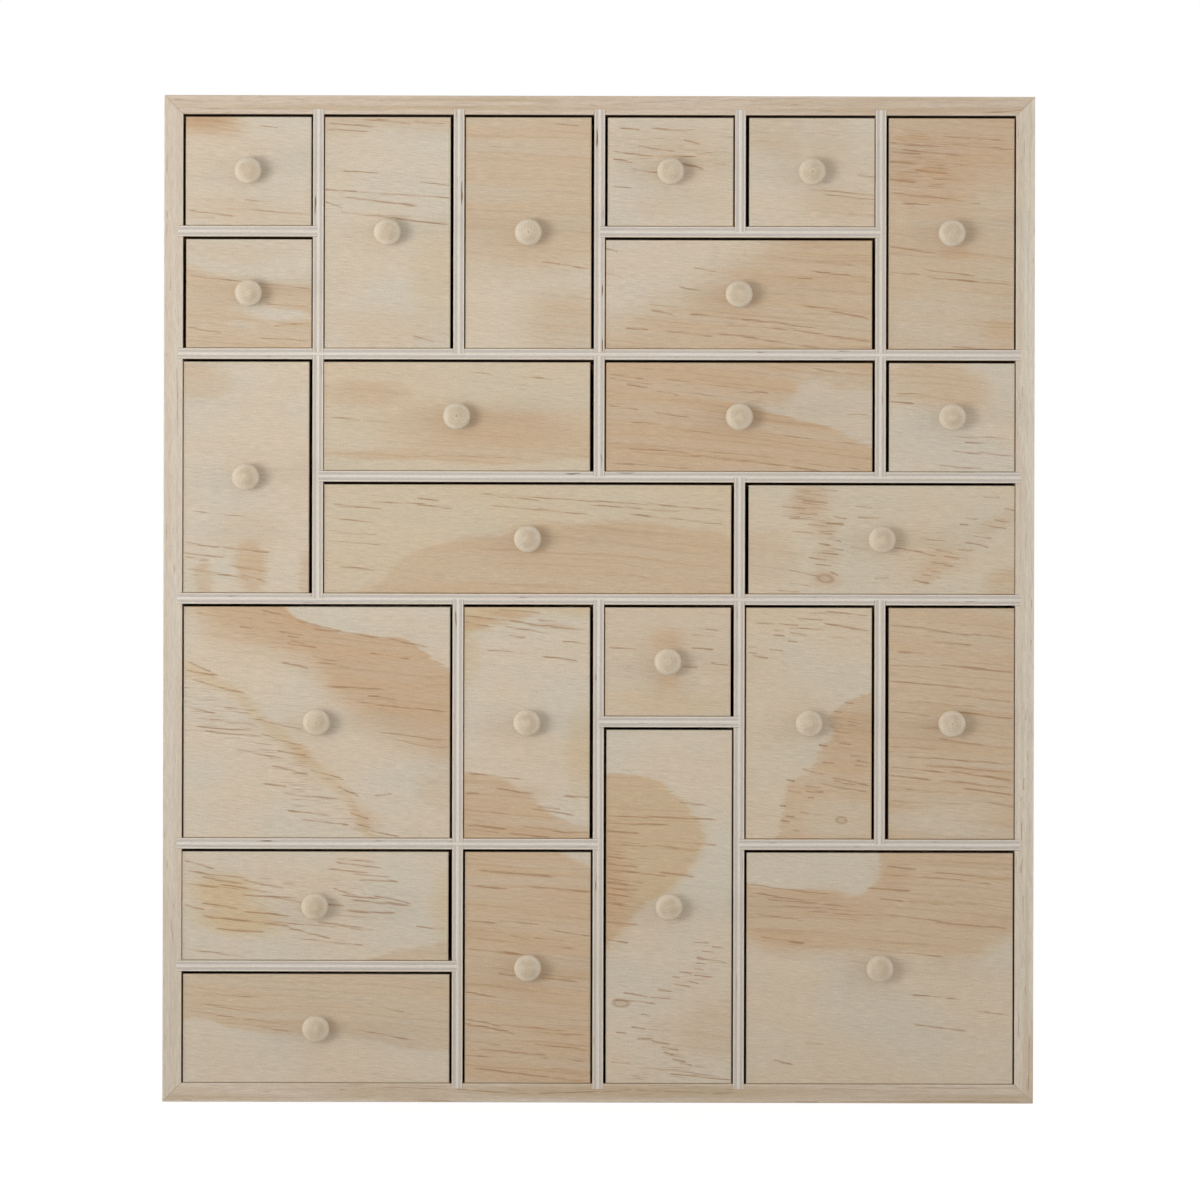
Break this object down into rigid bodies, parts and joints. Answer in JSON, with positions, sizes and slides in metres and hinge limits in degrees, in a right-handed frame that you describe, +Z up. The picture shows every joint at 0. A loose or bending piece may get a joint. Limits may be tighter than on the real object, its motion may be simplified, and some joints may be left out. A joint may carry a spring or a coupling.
{
  "type": "chest of small drawers",
  "caption": "Shallow upright chest of small wooden drawers in mixed sizes, set between plywood dividers in a mitred pine frame, each drawer with a turned knob.",
  "frame": {"origin": "middle of the frame's underside", "axes": "+Z up, +Y from the drawer fronts to the back panel, +X to the right seen from the front"},
  "size_m": [0.346, 0.0903, 0.4],
  "materials": {
    "frame_pine": "bare sanded",
    "divider_plywood": "bare sanded",
    "drawer_plywood": "bare sanded",
    "back_plywood": "bare sanded",
    "knob_wood": "bare turned",
    "pin_steel": "bright"
  },
  "bodies": {
    "carcass": {"frame_top_board": "frame_pine", "frame_bottom_board": "frame_pine", "frame_left_board": "frame_pine", "frame_right_board": "frame_pine", "upper_long_shelf": "divider_plywood", "lower_long_shelf": "divider_plywood", "short_shelves": "divider_plywood", "upper_uprights": "divider_plywood", "middle_uprights": "divider_plywood", "lower_uprights": "divider_plywood", "back_panel": "back_plywood", "back_panel_pins": "pin_steel"},
    "drawer_01": {"drawer_01_box": "drawer_plywood", "drawer_01_knob": "knob_wood"},
    "drawer_02": {"drawer_02_box": "drawer_plywood", "drawer_02_knob": "knob_wood"},
    "drawer_03": {"drawer_03_box": "drawer_plywood", "drawer_03_knob": "knob_wood"},
    "drawer_04": {"drawer_04_box": "drawer_plywood", "drawer_04_knob": "knob_wood"},
    "drawer_05": {"drawer_05_box": "drawer_plywood", "drawer_05_knob": "knob_wood"},
    "drawer_06": {"drawer_06_box": "drawer_plywood", "drawer_06_knob": "knob_wood"},
    "drawer_07": {"drawer_07_box": "drawer_plywood", "drawer_07_knob": "knob_wood"},
    "drawer_08": {"drawer_08_box": "drawer_plywood", "drawer_08_knob": "knob_wood"},
    "drawer_09": {"drawer_09_box": "drawer_plywood", "drawer_09_knob": "knob_wood"},
    "drawer_10": {"drawer_10_box": "drawer_plywood", "drawer_10_knob": "knob_wood"},
    "drawer_11": {"drawer_11_box": "drawer_plywood", "drawer_11_knob": "knob_wood"},
    "drawer_12": {"drawer_12_box": "drawer_plywood", "drawer_12_knob": "knob_wood"},
    "drawer_13": {"drawer_13_box": "drawer_plywood", "drawer_13_knob": "knob_wood"},
    "drawer_14": {"drawer_14_box": "drawer_plywood", "drawer_14_knob": "knob_wood"},
    "drawer_15": {"drawer_15_box": "drawer_plywood", "drawer_15_knob": "knob_wood"},
    "drawer_16": {"drawer_16_box": "drawer_plywood", "drawer_16_knob": "knob_wood"},
    "drawer_17": {"drawer_17_box": "drawer_plywood", "drawer_17_knob": "knob_wood"},
    "drawer_18": {"drawer_18_box": "drawer_plywood", "drawer_18_knob": "knob_wood"},
    "drawer_19": {"drawer_19_box": "drawer_plywood", "drawer_19_knob": "knob_wood"},
    "drawer_20": {"drawer_20_box": "drawer_plywood", "drawer_20_knob": "knob_wood"},
    "drawer_21": {"drawer_21_box": "drawer_plywood", "drawer_21_knob": "knob_wood"},
    "drawer_22": {"drawer_22_box": "drawer_plywood", "drawer_22_knob": "knob_wood"},
    "drawer_23": {"drawer_23_box": "drawer_plywood", "drawer_23_knob": "knob_wood"},
    "drawer_24": {"drawer_24_box": "drawer_plywood", "drawer_24_knob": "knob_wood"}
  },
  "joints": [
    {"name": "drawer_01_slide", "type": "slide", "parent": "carcass", "child": "drawer_01", "axis": [0, -1, 0], "range_m": [0, 0.062]},
    {"name": "drawer_02_slide", "type": "slide", "parent": "carcass", "child": "drawer_02", "axis": [0, -1, 0], "range_m": [0, 0.062]},
    {"name": "drawer_03_slide", "type": "slide", "parent": "carcass", "child": "drawer_03", "axis": [0, -1, 0], "range_m": [0, 0.062]},
    {"name": "drawer_04_slide", "type": "slide", "parent": "carcass", "child": "drawer_04", "axis": [0, -1, 0], "range_m": [0, 0.062]},
    {"name": "drawer_05_slide", "type": "slide", "parent": "carcass", "child": "drawer_05", "axis": [0, -1, 0], "range_m": [0, 0.062]},
    {"name": "drawer_06_slide", "type": "slide", "parent": "carcass", "child": "drawer_06", "axis": [0, -1, 0], "range_m": [0, 0.062]},
    {"name": "drawer_07_slide", "type": "slide", "parent": "carcass", "child": "drawer_07", "axis": [0, -1, 0], "range_m": [0, 0.062]},
    {"name": "drawer_08_slide", "type": "slide", "parent": "carcass", "child": "drawer_08", "axis": [0, -1, 0], "range_m": [0, 0.062]},
    {"name": "drawer_09_slide", "type": "slide", "parent": "carcass", "child": "drawer_09", "axis": [0, -1, 0], "range_m": [0, 0.062]},
    {"name": "drawer_10_slide", "type": "slide", "parent": "carcass", "child": "drawer_10", "axis": [0, -1, 0], "range_m": [0, 0.062]},
    {"name": "drawer_11_slide", "type": "slide", "parent": "carcass", "child": "drawer_11", "axis": [0, -1, 0], "range_m": [0, 0.062]},
    {"name": "drawer_12_slide", "type": "slide", "parent": "carcass", "child": "drawer_12", "axis": [0, -1, 0], "range_m": [0, 0.062]},
    {"name": "drawer_13_slide", "type": "slide", "parent": "carcass", "child": "drawer_13", "axis": [0, -1, 0], "range_m": [0, 0.062]},
    {"name": "drawer_14_slide", "type": "slide", "parent": "carcass", "child": "drawer_14", "axis": [0, -1, 0], "range_m": [0, 0.062]},
    {"name": "drawer_15_slide", "type": "slide", "parent": "carcass", "child": "drawer_15", "axis": [0, -1, 0], "range_m": [0, 0.062]},
    {"name": "drawer_16_slide", "type": "slide", "parent": "carcass", "child": "drawer_16", "axis": [0, -1, 0], "range_m": [0, 0.062]},
    {"name": "drawer_17_slide", "type": "slide", "parent": "carcass", "child": "drawer_17", "axis": [0, -1, 0], "range_m": [0, 0.062]},
    {"name": "drawer_18_slide", "type": "slide", "parent": "carcass", "child": "drawer_18", "axis": [0, -1, 0], "range_m": [0, 0.062]},
    {"name": "drawer_19_slide", "type": "slide", "parent": "carcass", "child": "drawer_19", "axis": [0, -1, 0], "range_m": [0, 0.062]},
    {"name": "drawer_20_slide", "type": "slide", "parent": "carcass", "child": "drawer_20", "axis": [0, -1, 0], "range_m": [0, 0.062]},
    {"name": "drawer_21_slide", "type": "slide", "parent": "carcass", "child": "drawer_21", "axis": [0, -1, 0], "range_m": [0, 0.062]},
    {"name": "drawer_22_slide", "type": "slide", "parent": "carcass", "child": "drawer_22", "axis": [0, -1, 0], "range_m": [0, 0.062]},
    {"name": "drawer_23_slide", "type": "slide", "parent": "carcass", "child": "drawer_23", "axis": [0, -1, 0], "range_m": [0, 0.062]},
    {"name": "drawer_24_slide", "type": "slide", "parent": "carcass", "child": "drawer_24", "axis": [0, -1, 0], "range_m": [0, 0.062]}
  ]
}
